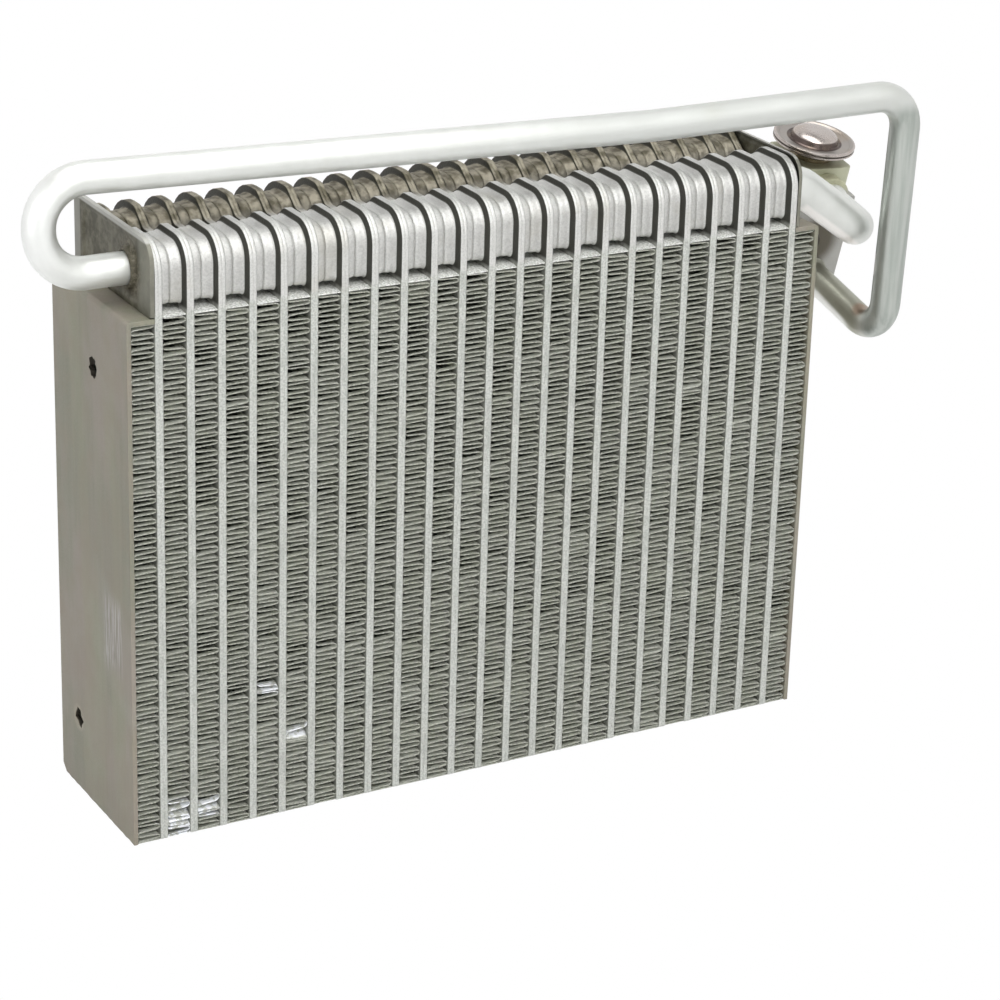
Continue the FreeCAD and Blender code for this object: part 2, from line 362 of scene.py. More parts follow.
def across(outline, x):
    """An outline of (y, z) points as points in space at one x."""
    return np.column_stack([np.full(len(outline), x), outline])


def plate_material():
    material, shader, place = start_material("plate_aluminium", Metallic=0.62)
    x, y, z = place.axis(0), place.axis(1), place.axis(2)
    mottle = place.noise(260, 3)
    grain = place.stretched(1, 1, 0.12).noise(5200, 2)
    speck = place.noise(1500, 2, 0.6).between(0.40, 0.66)
    stain = place.noise(60, 4, 0.6).between(0.50, 0.70)
    color = mottle.blend((0.54, 0.54, 0.517), (0.68, 0.68, 0.66))
    color = (speck * 0.45).blend(color, (0.44, 0.44, 0.425))
    color = (stain * 0.35).blend(color, (0.44, 0.42, 0.36))

    # The rims below the header are greyer, with dull spots
    header = z.between(side_height + 0.0005, side_height + 0.0025)
    below = 1 - header
    color = (below * 0.8).blend(color, speck.blend((0.60, 0.615, 0.575), (0.40, 0.415, 0.385)))
    dull = place.stretched(1, 1, 0.4).noise(330, 4, 0.7).between(0.46, 0.62)
    color = (dull * below * 0.4).blend(color, (0.36, 0.375, 0.345))

    # The rear header is browned by flux and darkened with painted shade, most of all at its top
    rear_brown_and_shade = y.between(-0.004, 0.005) * header
    rear_brown_and_shade = rear_brown_and_shade * (0.56 + z.between(plate_top - 0.0121, plate_top - 0.0021) * 0.5)
    flux_brown_and_shade = mottle.between(0.35, 0.65).blend((0.095, 0.084, 0.055), (0.28, 0.257, 0.20))
    color = rear_brown_and_shade.blend(color, flux_brown_and_shade)

    # Painted shade on the rims' flanks: nearly black beside the cups in the header, and grey beside the
    # fins below it
    from_middle = abs(x.maths("WRAP", pitch / 2, -pitch / 2))
    cup_flank_shade = from_middle.inside(0.00130, 0.0016, 0.00015) * header
    color = (cup_flank_shade * 0.93).blend(color, (0.030, 0.029, 0.020))
    fin_flank_shade = from_middle.between(0.00128, 0.00136) * below
    color = (fin_flank_shade * 0.5).blend(color, (0.12, 0.118, 0.092))
    roughness = 0.44 + mottle * 0.14 + grain * 0.06
    finish_material(place, shader, color, roughness, grain + speck + mottle * 2.0, 0.00004)
    return material


plate_metal = plate_material()
plate_outline = rounded([
    (-half_depth, 0.0, foot_radius),
    (half_depth, 0.0, foot_radius),
    (half_depth, plate_top, back_corner),
    (valley_half_top, plate_top, valley_radius),
    (valley_half_floor, plate_top - valley, valley_floor_radius),
    (-valley_half_floor, plate_top - valley, valley_floor_radius),
    (-valley_half_top, plate_top, valley_radius),
    (-half_depth, plate_top, front_corner),
])
cup_outlines = [
    rounded([
        (-cup_outer, cup_bottom, cup_foot_radius),
        (-cup_inner, cup_bottom, cup_foot_radius),
        (-cup_inner, cup_top, cup_inner_radius),
        (-cup_outer, cup_top, front_cup_radius),
    ], 9),
    rounded([
        (cup_inner, cup_bottom, cup_foot_radius),
        (cup_outer, cup_bottom, cup_foot_radius),
        (cup_outer, cup_top, back_cup_radius),
        (cup_inner, cup_top, cup_inner_radius),
    ], 9),
]
rim_levels = [(-x, depth) for x, depth in reversed(rim_profile[1:])] + rim_profile
for number in range(tube_count):
    middle = (number - (tube_count - 1) / 2) * pitch
    tube = Build()
    rims = [across(inset(plate_outline, depth), middle + x) for x, depth in rim_levels]
    tube.loft(rims, True, True)
    for hand, last_number in ((-1, 0), (1, tube_count - 1)):
        if number == last_number:
            continue
        for outline in cup_outlines:
            cup = [across(inset(outline, depth), middle + hand * x) for x, depth in cup_profile]
            tube.loft(cup[::hand])
    name = f"tube_{number + 1:02d}"
    tube.piece(f"{name}_plates", plate_metal, [name], "tube_plates")


# Fins: thin aluminium sheet, folded back and forth between the tubes and brazed to them at its folds.
# Each leg has a flat strip at both faces of the core, and louvres cut and tilted between them.
# A few legs are crushed at the front face, low down on the left, as knocks have left them.
fin_width = 0.0082
leg_pitch = 0.00168
drift_legs = 6
fin_front = 0.0314
fin_strip = 0.0022
fin_low = 0.0001
fin_high = 0.1862
end_fin_high = 0.1844
roof_rise = 0.0012
edge_thickness = 0.00032
louvre_pitch = 0.0015
louvre_half_width = louvre_pitch * 0.44
louvre_tilt = 0.00026
plain_middle = 0.0012

# Each leg's stations: how far up it is, and how far across the gap; louvres follow the fourth
fold_stations = [
    (0.0, 0.0), (0.16, 0.012), (0.31, 0.05), (0.44, 0.14), (0.56, 0.86), (0.69, 0.95), (0.84, 0.988),
]
louvred_station = 4

# The crushed stretches, as heights from and to by the fin's number from the left
knocks = {2: (0.0, 0.0135), 3: (0.005, 0.0115), 5: (0.046, 0.050), 6: (0.028, 0.032)}

# The left side plate's inner face and its two holes, behind which the first fin is painted with shade
side_inner = 0.1306
punched_place = (-0.003, 0.162)
torn_place = (0.016, 0.027)


def fin_material():
    material, shader, place = start_material("fin_aluminium", Metallic=0.42)
    x, y, z = place.axis(0), place.axis(1), place.axis(2)
    mottle = place.noise(900, 3)
    tint = place.noise(70, 3).between(0.4, 0.65)
    speck = place.noise(1400, 2, 0.6).between(0.40, 0.62)
    color = mottle.blend((0.50, 0.515, 0.45), (0.72, 0.73, 0.675))
    color = (tint * 0.3).blend(color, (0.53, 0.55, 0.44))
    # Painted shade on the fins' front edges
    front_edge_shade = 1 - y.between(-fin_front + 0.00001, -fin_front + 0.00015)
    color = (front_edge_shade * (0.25 + speck * 0.65)).blend(color, (0.235, 0.24, 0.195))
    # Painted light on the top leg's upper face
    roof = z.between(fin_high - 0.0008, fin_high - 0.0004)
    color = roof.blend(color, speck.blend((0.86, 0.87, 0.84), (0.55, 0.56, 0.52)))
    # The crushed stretches are coloured nearly white at the front face
    crushed_pale = 0.0
    for number, (low, high) in knocks.items():
        middle = (number - 1 - tube_count / 2) * pitch
        crushed_pale = x.inside(middle - 0.004, middle + 0.004, 0.0005) * z.inside(low, high, 0.001) + crushed_pale
    crushed_pale = crushed_pale * (0.15 + place.noise(380, 3, 0.6).between(0.42, 0.54))
    crushed_pale = crushed_pale * (1 - y.between(-fin_front + 0.0009, -fin_front + 0.0039))
    color = crushed_pale.blend(color, (0.90, 0.92, 0.95))
    # Painted shade on the first fin where it shows through the side plate's holes
    for hole_place in (punched_place, torn_place):
        behind = 1 - place.distance(-side_inner, *hole_place).between(0.0050, 0.0062)
        color = (behind * 0.95).blend(color, (0.022, 0.020, 0.013))
    finish_material(place, shader, color, 0.42 + mottle * 0.2, mottle, 0.00003)
    return material


def fold_line(x_left, high, generator, knock):
    """The folds' places across and up, and how far the front edge leans and is crushed at each."""
    legs = int((high - fin_low) / leg_pitch)
    rise = (high - fin_low) / legs
    stops = np.arange(0, legs + 2 * drift_legs, drift_legs)
    drift = np.interp(np.arange(legs + 1), stops, generator.normal(0, 0.09 * rise, len(stops)))
    lift = generator.normal(0, 0.08 * rise, legs + 1) + drift
    lift[[0, -1]] = 0
    lean = generator.normal(0, 0.17 * rise, legs + 1)
    crush = np.zeros(legs + 1)
    if knock:
        level = fin_low + rise * np.arange(legs + 1)
        hit = (level > knock[0]) & (level < knock[1])
        crush[hit] = generator.uniform(-1.8, 0.5, hit.sum()) * rise
        crush *= level > 0.0025
    sway = np.array((lift, lean, crush))
    points = [(x_left + fin_width, fin_low, 0.0, 0.0)]
    for leg in range(legs):
        for along, share in fold_stations:
            crossed = share if leg % 2 == 0 else 1 - share
            lifted, leaning, fallen = sway[:, leg] * (1 - along) + sway[:, leg + 1] * along
            level = fin_low + rise * (leg + along) + lifted
            points.append((x_left + fin_width * crossed, level, leaning, fallen))
    for share in (legs % 2, 0.5, 1 - legs % 2):
        points.append((x_left + fin_width * share, high, 0.0, 0.0))
    xs, zs, leans, falls = np.array(points).T
    leans[:6] = generator.uniform(0, 0.35) * rise
    return xs, zs, leans, falls


def add_sheet(build, xs, rows, louvred):
    """The folded sheet through four rows of (y, heights), open between the middle two where louvred."""
    count = len(xs)
    upper = [np.column_stack([xs, np.full(count, y), heights]) for y, heights in rows]
    under = [row - (0, 0, edge_thickness) for row in upper]
    every = np.arange(count - 1)
    strips = np.flatnonzero(~louvred)
    faces = []
    for first, second, chosen in (
        (0, 1, every), (1, 2, strips), (2, 3, every),
        (4, 0, every), (5, 4, every), (3, 7, every), (7, 6, every),
    ):
        low, high = first * count, second * count
        faces += [(low + i, low + i + 1, high + i + 1, high + i) for i in chosen]
    build.add(np.concatenate(upper + under), faces)


def add_louvres(build, xs, zs, spots, reach, foot):
    """Two banks of slats across the louvred legs, which tilt away from the fin's plain middle."""
    bank = int((reach - plain_middle) / louvre_pitch)
    corners = []
    for side in (-1, 1):
        for step in range(bank):
            y = side * (plain_middle + louvre_pitch * (step + 0.5))
            for index, way in ((spots, -1), (spots + 1, -1), (spots + 1, 1), (spots, 1)):
                level = np.maximum(zs[index] + way * side * louvre_tilt, foot)
                across_fin = np.full(len(spots), y + way * louvre_half_width)
                corners.append(np.column_stack([xs[index], across_fin, level]))
    block = np.stack(corners).reshape(2 * bank, 4, len(spots), 3)
    block = block.transpose(0, 2, 1, 3).reshape(-1, 3)
    build.add(block, [(4 * i, 4 * i + 1, 4 * i + 2, 4 * i + 3) for i in range(len(block) // 4)])


def fin_column(x_left, high, generator, knock):
    """One folded fin from its lowest leg to its top one, which both lie flat across the gap."""
    xs, zs, leans, falls = fold_line(x_left, high, generator, knock)
    inner = fin_front - fin_strip
    foot = fin_low + edge_thickness
    roof = np.zeros(len(xs))
    if high == fin_high:
        roof[-3:] = roof_rise
    rows = [
        (-fin_front, leans + falls), (-inner, 0.25 * falls + 0.3 * roof),
        (inner, roof), (fin_front, 0.8 * roof - leans),
    ]
    rows = [(y, np.maximum(zs + shift, foot)) for y, shift in rows]
    every = np.arange(len(xs) - 1)
    louvred = (every % len(fold_stations) == louvred_station) & (every < len(xs) - 4)
    build = Build()
    add_sheet(build, xs, rows, louvred)
    add_louvres(build, xs, zs, np.flatnonzero(louvred), inner, foot)
    return build


fin_metal = fin_material()
chance = np.random.default_rng(7)
for number in range(tube_count + 1):
    x_left = (number - tube_count / 2) * pitch - fin_width / 2
    high = end_fin_high if number in (0, tube_count) else fin_high
    column = fin_column(x_left, high, chance, knocks.get(number + 1))
    name = f"fin_{number + 1:02d}"
    column.piece(f"{name}_sheet", fin_metal, [name], "fins", 50.0)


# Side plates: sheared aluminium sheet on the last fins, folded in over their tops, dull from the
# brazing furnace. The left one has a rough punched hole near its top and a torn one near its foot.
row_end = 0.1224
side_sheet = 0.0016
side_outer = side_inner + side_sheet
bend_radius = 0.0015
fold_start = side_height - 0.0030
corner_cut = 0.0030
inner_bend = 0.0004
shear = 0.00012
foot_points = 26
foot_wave = 0.00035
punched_half_width = 0.0038
punched_half_height = 0.0039
torn_outline = [
    (0.00123, 0.00358), (0.00302, 0.00067), (0.00347, -0.00090), (0.00123, -0.00134),
    (-0.00022, -0.00291), (-0.00202, -0.00336), (-0.00235, -0.00179), (-0.00414, 0.00011),
    (-0.00202, 0.00146), (-0.00146, 0.00325),
]


def side_material():
    material, shader, place = start_material("side_sheet", Metallic=0.25)
    y, z = place.axis(1), place.axis(2)
    streak = place.stretched(1, 1, 0.05).noise(420, 4, 0.6)
    mottle = place.noise(75, 4, 0.6)
    fine = place.noise(1500, 3)
    warm = place.noise(24, 3, 0.6).between(0.40, 0.62)
    grain = place.noise(1900, 4, 0.75).between(0.36, 0.64)
    patch = place.stretched(1, 1, 0.45).noise(30, 4, 0.6).between(0.40, 0.60)
    band = place.stretched(1, 1, 0.12).noise(70, 3, 0.6).between(0.45, 0.62)
    color = streak.blend((0.165, 0.17, 0.12), (0.245, 0.24, 0.19))
    color = (patch * 0.7).blend(color, (0.29, 0.243, 0.212))
    color = (band * 0.4).blend(color, (0.265, 0.27, 0.175))
    color = (grain * 0.32).blend(color, (0.32, 0.315, 0.265))
    color = (mottle.between(0.42, 0.66) * 0.4).blend(color, (0.26, 0.23, 0.175))
    color = (warm * (1 - z.between(0.060, 0.150)) * 0.55).blend(color, (0.255, 0.215, 0.18))

    # A patch of upright scratches near the front, and a paler graze that slants past it
    marks = place.stretched(1, 1.6, 0.09).noise(620, 5, 0.7).between(0.42, 0.58)
    rubbed = y.inside(-0.022, -0.011, 0.004) * z.inside(0.064, 0.079, 0.009)
    color = (marks * rubbed * 0.6).blend(color, (0.42, 0.40, 0.40))
    color = ((1 - marks) * rubbed * 0.35).blend(color, (0.15, 0.145, 0.14))
    grazed = (z - y * 0.55).inside(0.064, 0.092, 0.008) * (1 - y.between(-0.008, 0.004))
    color = (grazed * 0.12).blend(color, (0.42, 0.40, 0.36))

    # The torn hole's pale burr, and painted shade on both holes' walls
    burr = 1 - place.distance(-side_outer, *torn_place).between(0.0036, 0.0056)
    color = (burr * 0.5).blend(color, (0.36, 0.32, 0.25))
    inside = 1 - (-place.axis(0)).between(side_outer - 0.00025, side_outer - 0.00005)
    for hole_place in (punched_place, torn_place):
        wall = (1 - place.distance(-side_outer, *hole_place).between(0.0050, 0.0060)) * inside
        color = (wall * 0.9).blend(color, (0.035, 0.030, 0.022))
    roughness = 0.52 + mottle * 0.12 - marks * rubbed * 0.15
    finish_material(place, shader, color, roughness, fine * 0.4 + streak, 0.00005)
    return material


def wavy(outline, generator, amount):
    """The outline with each point moved inwards by chance, as by a worn shear."""
    inwards = (inset(outline, 0.001) - outline) / 0.001
    return outline + inwards * generator.uniform(0, amount, len(outline))[:, None]


def add_fold(build, hand):
    """The sheet's top, bent over the last fin to the end tube."""
    under = side_height - side_sheet
    turns = np.radians(np.linspace(0, 90, 9))
    outer_bend = [(side_outer - bend_radius * (1 - math.cos(turn)),
                   side_height - bend_radius * (1 - math.sin(turn))) for turn in turns]
    section = [(side_outer, fold_start)] + outer_bend + [
        (row_end + shear, side_height), (row_end, side_height - shear),
        (row_end, under + shear), (row_end + shear, under),
        (side_inner - inner_bend, under), (side_inner, under - inner_bend), (side_inner, fold_start),
    ]
    section = (np.array(section) * (hand, 1))[::hand]
    ends = []
    for y, trim in ((-half_depth, shear), (-half_depth + shear, 0),
                    (half_depth - shear, 0), (half_depth, shear)):
        loop = inset(section, trim)
        loop[[0, -1], 1] = fold_start
        ends.append(np.column_stack([loop[:, 0], np.full(len(loop), y), loop[:, 1]]))
    build.loft(ends[::-1], True, True)


def side_plate(hand, holes, generator):
    """One folded side sheet on the left (hand -1) or the right."""
    foot = [(y, 0.0, 0.0) for y in np.linspace(-half_depth, half_depth - corner_cut, foot_points)]
    outline = rounded(foot + [(half_depth, corner_cut, 0.0)])
    outline = wavy(outline, generator, foot_wave)
    outline[0] = (-half_depth, fin_low)
    outline[-1, 0] = half_depth
    outline = np.concatenate([outline, [(half_depth, fold_start), (-half_depth, fold_start)]])
    levels = [(0.0, shear), (shear, 0.0), (side_sheet - shear, 0.0), (side_sheet, shear)]
    edges = []
    for depth, trim in levels:
        loop = inset(outline, trim)
        loop[-2:, 1] = fold_start
        edges.append(across(loop, hand * (side_outer - depth)))
    build = Build()
    build.loft(edges)
    bores = []
    for hole in holes:
        bores.append([across(inset(hole[::-1], -trim)[::-1], hand * (side_outer - depth))
                      for depth, trim in levels])
        build.loft(bores[-1])
    for level in (0, -1):
        build.holed([edges[level]] + [bore[level] for bore in bores], level == 0)
    add_fold(build, hand)
    return build


side_metal = side_material()
wear = np.random.default_rng(3)
turns = np.linspace(0, 2 * math.pi, 22, endpoint=False)
punched_hole = np.column_stack([
    punched_place[0] + punched_half_width * np.cos(turns) * (1 + wear.uniform(-0.3, 0.1, 22)),
    punched_place[1] + punched_half_height * np.sin(turns) * (1 + wear.uniform(-0.2, 0.1, 22)),
])
left_side = side_plate(-1, [punched_hole, np.array(torn_outline) + torn_place], wear)
left_side.piece("side_plate_left_sheet", side_metal, ["side_plate_left"], "side_plates", 30.0)
right_side = side_plate(1, [], wear)
right_side.piece("side_plate_right_sheet", side_metal, ["side_plate_right"], "side_plates", 30.0)


# Tank end plates: pressed sheet brazed on the last tubes' plates, with a shallow recess and a
# collar drawn out round each pipe, which a rough ring of braze fills.
end_sheet = 0.0015
end_top = plate_top + 0.0009
end_front_radius = 0.0075
end_back_radius = 0.0035
recess_depth = 0.0006
recess_front = -0.021
recess_back = 0.024
recess_margin = 0.0026
collar_wall = 0.0015
collar_height = 0.0016
liquid_joint = Vector((-row_end, -0.014, 0.1983))
suction_joint = Vector((row_end, -0.015, 0.196))
liquid_radius = 0.0055
suction_radius = 0.0070


def end_material():
    material, shader, place = start_material("end_sheet", Metallic=0.35)
    y, z = place.axis(1), place.axis(2)
    mottle = place.noise(150, 5, 0.65)
    fine = place.noise(1300, 3)
    color = mottle.between(0.36, 0.66).blend((0.052, 0.048, 0.028), (0.162, 0.154, 0.115))
    front_rim = 1 - y.between(recess_front - 0.0035, recess_front + 0.0005)
    color = (front_rim * 0.55).blend(color, (0.25, 0.25, 0.21))
    back_rim = y.between(recess_back + 0.0022, recess_back + 0.0030)
    color = (back_rim * 0.6).blend(color, (0.32, 0.32, 0.29))
    top_edge = z.between(end_top - 0.0017, end_top - 0.0009)
    color = (top_edge * 0.8).blend(color, (0.48, 0.48, 0.45))
    to_joint = place.distance(*liquid_joint).maths("MINIMUM", place.distance(*suction_joint))
    near = 1 - to_joint.between(0.0076, 0.0125)
    flux = place.noise(700, 4, 0.7).between(0.44, 0.60)
    color = (near * flux * 0.4).blend(color, (0.25, 0.22, 0.16))
    color = (near * (1 - flux) * 0.7).blend(color, (0.06, 0.052, 0.032))
    finish_material(place, shader, color, 0.46 + mottle * 0.2, fine * 0.5 + mottle * 2, 0.00006)
    return material


def resampled(outline, count):
    """The same closed outline with points at even distances."""
    closed = np.concatenate([outline, outline[:1]])
    lengths = np.concatenate([[0], np.cumsum(np.linalg.norm(np.diff(closed, axis=0), axis=1))])
    spots = np.linspace(0, lengths[-1], count, endpoint=False)
    return np.column_stack([np.interp(spots, lengths, closed[:, k]) for k in (0, 1)])


def end_plate(hand, joint, radius, generator):
    """The pressed plate that closes the tank at one end."""
    outer = row_end + end_sheet
    floor = outer - recess_depth
    outline = resampled(rounded([
        (-half_depth, side_height, 0.0006), (half_depth, side_height, 0.0006),
        (half_depth, end_top, end_back_radius), (-half_depth, end_top, end_front_radius),
    ]), 132)
    recess_low, recess_high = side_height + recess_margin, end_top - recess_margin
    recess = resampled(rounded([
        (recess_front, recess_low, 0.0015), (recess_back, recess_low, 0.0015),
        (recess_back, recess_high, 0.006), (recess_front, recess_high, 0.006),
    ]), 132)
    centre = np.array((joint.y, joint.z))
    spokes = recess - centre
    spokes /= np.linalg.norm(spokes, axis=1)[:, None]
    loops = [(outline, row_end), (outline, outer - 0.00035),
             (inset(outline, 0.00012), outer - 0.0001), (inset(outline, 0.00035), outer),
             (inset(recess, -0.0009), outer), (inset(recess, -0.0003), outer - 0.00012),
             (inset(recess, 0.0002), floor + 0.0001), (inset(recess, 0.0008), floor)]
    rough = generator.uniform(-0.00018, 0.00018, len(recess))
    rough = (rough + np.roll(rough, 1) + np.roll(rough, 2)) / 1.7
    lip = recess_depth + collar_height
    collar = [(collar_wall + 0.0018, 0.0), (collar_wall + 0.0007, 0.0001),
              (collar_wall + 0.0001, 0.0005), (collar_wall - 0.0001, 0.0014),
              (collar_wall - 0.0004, lip - 0.0003), (collar_wall - 0.0009, lip),
              (0.0003, lip - 0.0001), (0.0001, 0.0012), (0.0001, 0.0)]
    for index, (growth, height) in enumerate(collar):
        spread = radius + growth + (rough if 0 < index < 6 else 0)
        ring = centre + spokes * np.broadcast_to(spread, len(recess))[:, None]
        loops.append((ring, floor + height))
    build = Build()
    lofted = [across(loop, hand * x) for loop, x in loops]
    build.loft(lofted if hand > 0 else lofted[::-1])
    return build


end_metal = end_material()
for hand, joint, radius, side in (
    (-1, liquid_joint, liquid_radius, "left"), (1, suction_joint, suction_radius, "right"),
):
    plate = end_plate(hand, joint, radius, wear)
    node = f"tank_end_plate_{side}"
    plate.piece(f"{node}_pressing", end_metal, [node], "end_plates")


# Pipes: drawn aluminium tube, bent cold, brazed into the tank's ends and beaded before the valve.
# Their satin skin is scuffed along its length and darker where it was heated. The valve's place
# and tilt stand here, because both pipes end in its ports.
valve_place = Vector((0.170, 0.028, 0.1977))
valve_turn = Matrix.Rotation(math.radians(12), 4, "X") @ Matrix.Rotation(math.radians(4), 4, "Y")
valve_matrix = Matrix.Translation(valve_place) @ valve_turn
block_half_depth = 0.012
clamp_thickness = 0.005
suction_port_z = -0.0175
liquid_port_z = -0.047
port_insertion = 0.007
bead_gap = 0.0012
bead_height = 0.0011
bead_half_width = 0.0010


def in_front_of_port(port_z, distance):
    """The place on a port's axis that is this far in front of the valve block."""
    return valve_matrix @ Vector((0, -block_half_depth - distance, port_z))


hairpin_low = liquid_joint - Vector((0.0315, 0, 0))
hairpin_high = hairpin_low + Vector((0, 0, 0.0319))
hairpin_radius = 0.0155
long_run_bend = Vector((row_end - 0.0564, -0.023, plate_top + 0.0164))
top_corner = Vector((0.170, -0.028, plate_top + 0.0184))
low_corner = Vector((0.170, -0.023, side_height - 0.0515))
liquid_elbow = in_front_of_port(liquid_port_z, clamp_thickness + liquid_radius)
suction_turn = suction_joint + Vector((0.0116, 0, 0))
suction_elbow = in_front_of_port(suction_port_z, 0.032)


def pipe_material():
    material, shader, place = start_material("pipe_aluminium", Metallic=0.72)
    x, y, z = place.axis(0), place.axis(1), place.axis(2)
    mottle = place.noise(120, 4, 0.6)
    scuff = place.stretched(0.12, 1, 1).noise(1700, 3, 0.6)
    heated = place.noise(45, 3).between(0.55, 0.75)
    color = mottle.blend((0.65, 0.665, 0.63), (0.80, 0.81, 0.785))
    long_run = x.between(-0.060, 0.090) * z.between(plate_top + 0.0104, plate_top + 0.0124)
    color = (long_run * 0.75).blend(color, (0.57, 0.585, 0.56))
    color = (heated * 0.3).blend(color, (0.54, 0.55, 0.49))

    # Painted shade on the pipe's way down, streaked
    down_run_shade = x.between(low_corner.x - 0.012, low_corner.x - 0.004)
    down_run_shade = down_run_shade * z.inside(low_corner.z - 0.0045, plate_top + 0.0114, 0.006)
    down_run_shade = down_run_shade * (1 - y.between(low_corner.y + 0.003, low_corner.y + 0.007))
    streak = place.stretched(1, 1, 0.04).noise(420, 3).between(0.35, 0.65)
    color = (down_run_shade * (0.66 + streak * 0.30)).blend(color, (0.35, 0.38, 0.35))

    # Its way back to the valve, browned by heat but for a painted highlight on its lower left side
    back = x.between(0.155, 0.160) * y.between(low_corner.y + 0.003, low_corner.y + 0.011)
    back = back * (1 - z.between(0.156, 0.160))
    color = (back * 0.85).blend(color, mottle.blend((0.32, 0.32, 0.245), (0.46, 0.46, 0.37)))
    climb = (liquid_elbow.z - low_corner.z) / (liquid_elbow.y - low_corner.y)
    over_line = z - (y - low_corner.y) * climb - low_corner.z
    toward_upper_right = (x - (low_corner.x + liquid_elbow.x) / 2) * 0.6 + over_line * 0.8
    lower_left_highlight = back * y.between(low_corner.y + 0.011, low_corner.y + 0.017)
    lower_left_highlight = lower_left_highlight * (1 - toward_upper_right.between(-0.0040, -0.0026))
    color = lower_left_highlight.blend(color, (0.95, 0.95, 0.92))

    # The suction pipe's lit underside, between its turn and its elbow
    fall = (suction_turn.z - suction_elbow.z) / (suction_elbow.x - suction_turn.x)
    below = (suction_turn.z + suction_turn.x * fall - x * fall - z) * (1 / math.hypot(1, fall))
    lit = below.between(0.0040, 0.0052) * z.between(0.159, 0.161)
    lit = lit * x.inside(0.136, 0.166, 0.003) * y.inside(-0.022, -0.002, 0.002)
    color = lit.blend(color, (0.97, 0.95, 0.92))

    # Painted light on the hairpin's outside, and a tan heat mark above the lower corner
    hairpin_outside_light = 1 - x.between(hairpin_low.x - 0.0051, hairpin_low.x + 0.0089)
    color = (hairpin_outside_light * 0.6).blend(color, (0.93, 0.94, 0.93))
    burnt_place = low_corner + Vector((-0.0020, 0.0105, 0.0090))
    burnt = 1 - place.distance(*burnt_place).between(0.0022, 0.0050)
    color = (burnt * 0.75).blend(color, (0.36, 0.24, 0.17))
    roughness = 0.27 + mottle * 0.16 + scuff * 0.08
    finish_material(place, shader, color, roughness, scuff + mottle * 3, 0.00005)
    return material


def bent_path(stations, step=0.0016):
    """Points along a centre line through (corner, bend radius) stations."""
    corners = [corner for corner, bend in stations]
    line = [corners[0]]
    for place in range(1, len(stations) - 1):
        corner, bend = stations[place]
        toward = (corners[place - 1] - corner).normalized()
        away = (corners[place + 1] - corner).normalized()
        half_angle = toward.angle(away) / 2
        centre = corner + (toward + away).normalized() * (bend / math.sin(half_angle))
        spoke = corner + toward * (bend / math.tan(half_angle)) - centre
        turn = math.pi - 2 * half_angle
        steps = max(2, round(turn * bend / step))
        axis = away.cross(toward)
        line += [centre + Matrix.Rotation(turn * index / steps, 3, axis) @ spoke
                 for index in range(steps + 1)]
    line.append(corners[-1])
    points = [line[0]]
    for start, end in zip(line, line[1:]):
        pieces = max(1, round((end - start).length / step))
        points += [start.lerp(end, index / pieces) for index in range(1, pieces + 1)]
    return points


def beaded_bar(points, radius, bead, sides=48):
    """A round bar along points, with one round bead pressed out of it."""
    build = Build()
    turns = np.linspace(0, 2 * math.pi, sides, endpoint=False)[:, None]
    heading = (points[1] - points[0]).normalized()
    side = heading.orthogonal().normalized()
    loops = []
    for index, point in enumerate(points):
        before = points[max(index - 1, 0)]
        after = points[min(index + 1, len(points) - 1)]
        ahead = (after - before).normalized()
        side = (heading.rotation_difference(ahead) @ side).normalized()
        heading = ahead
        ring = np.cos(turns) * np.array(side) + np.sin(turns) * np.array(heading.cross(side))
        swell = bead_height * math.exp(-((point - bead).length / bead_half_width) ** 2)
        loops.append(np.array(point) + ring * (radius + swell))
    build.loft(loops, True, True)
    return build


pipe_metal = pipe_material()
liquid_path = bent_path([
    (liquid_joint, 0),
    (hairpin_low, hairpin_radius),
    (hairpin_high, hairpin_radius),
    (long_run_bend, 0.060),
    (top_corner, 0.0125),
    (low_corner, 0.0115),
    (liquid_elbow, 0.012),
    (in_front_of_port(liquid_port_z, -port_insertion), 0),
])
liquid_bead = in_front_of_port(liquid_port_z, clamp_thickness + bead_gap)
liquid = beaded_bar(liquid_path, liquid_radius, liquid_bead)
liquid.piece("liquid_pipe_tube", pipe_metal, ["liquid_pipe"], "pipes", 50.0)
suction_path = bent_path([
    (suction_joint, 0),
    (suction_turn, 0.010),
    (suction_elbow, 0.0135),
    (in_front_of_port(suction_port_z, -port_insertion), 0),
])
suction_bead = in_front_of_port(suction_port_z, clamp_thickness + bead_gap)
suction = beaded_bar(suction_path, suction_radius, suction_bead)
suction.piece("suction_pipe_tube", pipe_metal, ["suction_pipe"], "pipes", 50.0)


# Valve block: a length of extruded aluminium bar, machined with two pipe ports in its front and
# with the two line ports and a tapped hole in its back, each with a stepped bore.
block_half_width = 0.0115
block_top = -0.006
block_bottom = -0.062
block_edge = 0.002
suction_bore = 0.00715
liquid_bore = 0.00565
front_bore_depth = 0.008
suction_line_bore = 0.0081
liquid_line_bore = 0.0051
liquid_line_z = -0.0405
tapped_bore = 0.0025
tapped_z = -0.0305
back_bore_depth = 0.009


def block_material():
    material, shader, place = start_material("block_aluminium", Metallic=0.5)
    mottle = place.noise(110, 4, 0.6)
    sawn = place.stretched(0.2, 1, 1).noise(2400, 3)
    color = mottle.blend((0.42, 0.43, 0.30), (0.58, 0.585, 0.45))
    color = (place.noise(60, 3).between(0.5, 0.7) * 0.4).blend(color, (0.62, 0.60, 0.50))
    roughness = 0.42 + mottle * 0.16
    finish_material(place, shader, color, roughness, sawn + mottle, 0.00004)
    return material


def circle(x, z, radius, y, count=48):
    """Points round a circle that faces along y."""
    turns = np.linspace(0, 2 * math.pi, count, endpoint=False)
    points = [np.full(count, x) + radius * np.cos(turns), np.full(count, y)]
    return np.column_stack(points + [z + radius * np.sin(turns)])


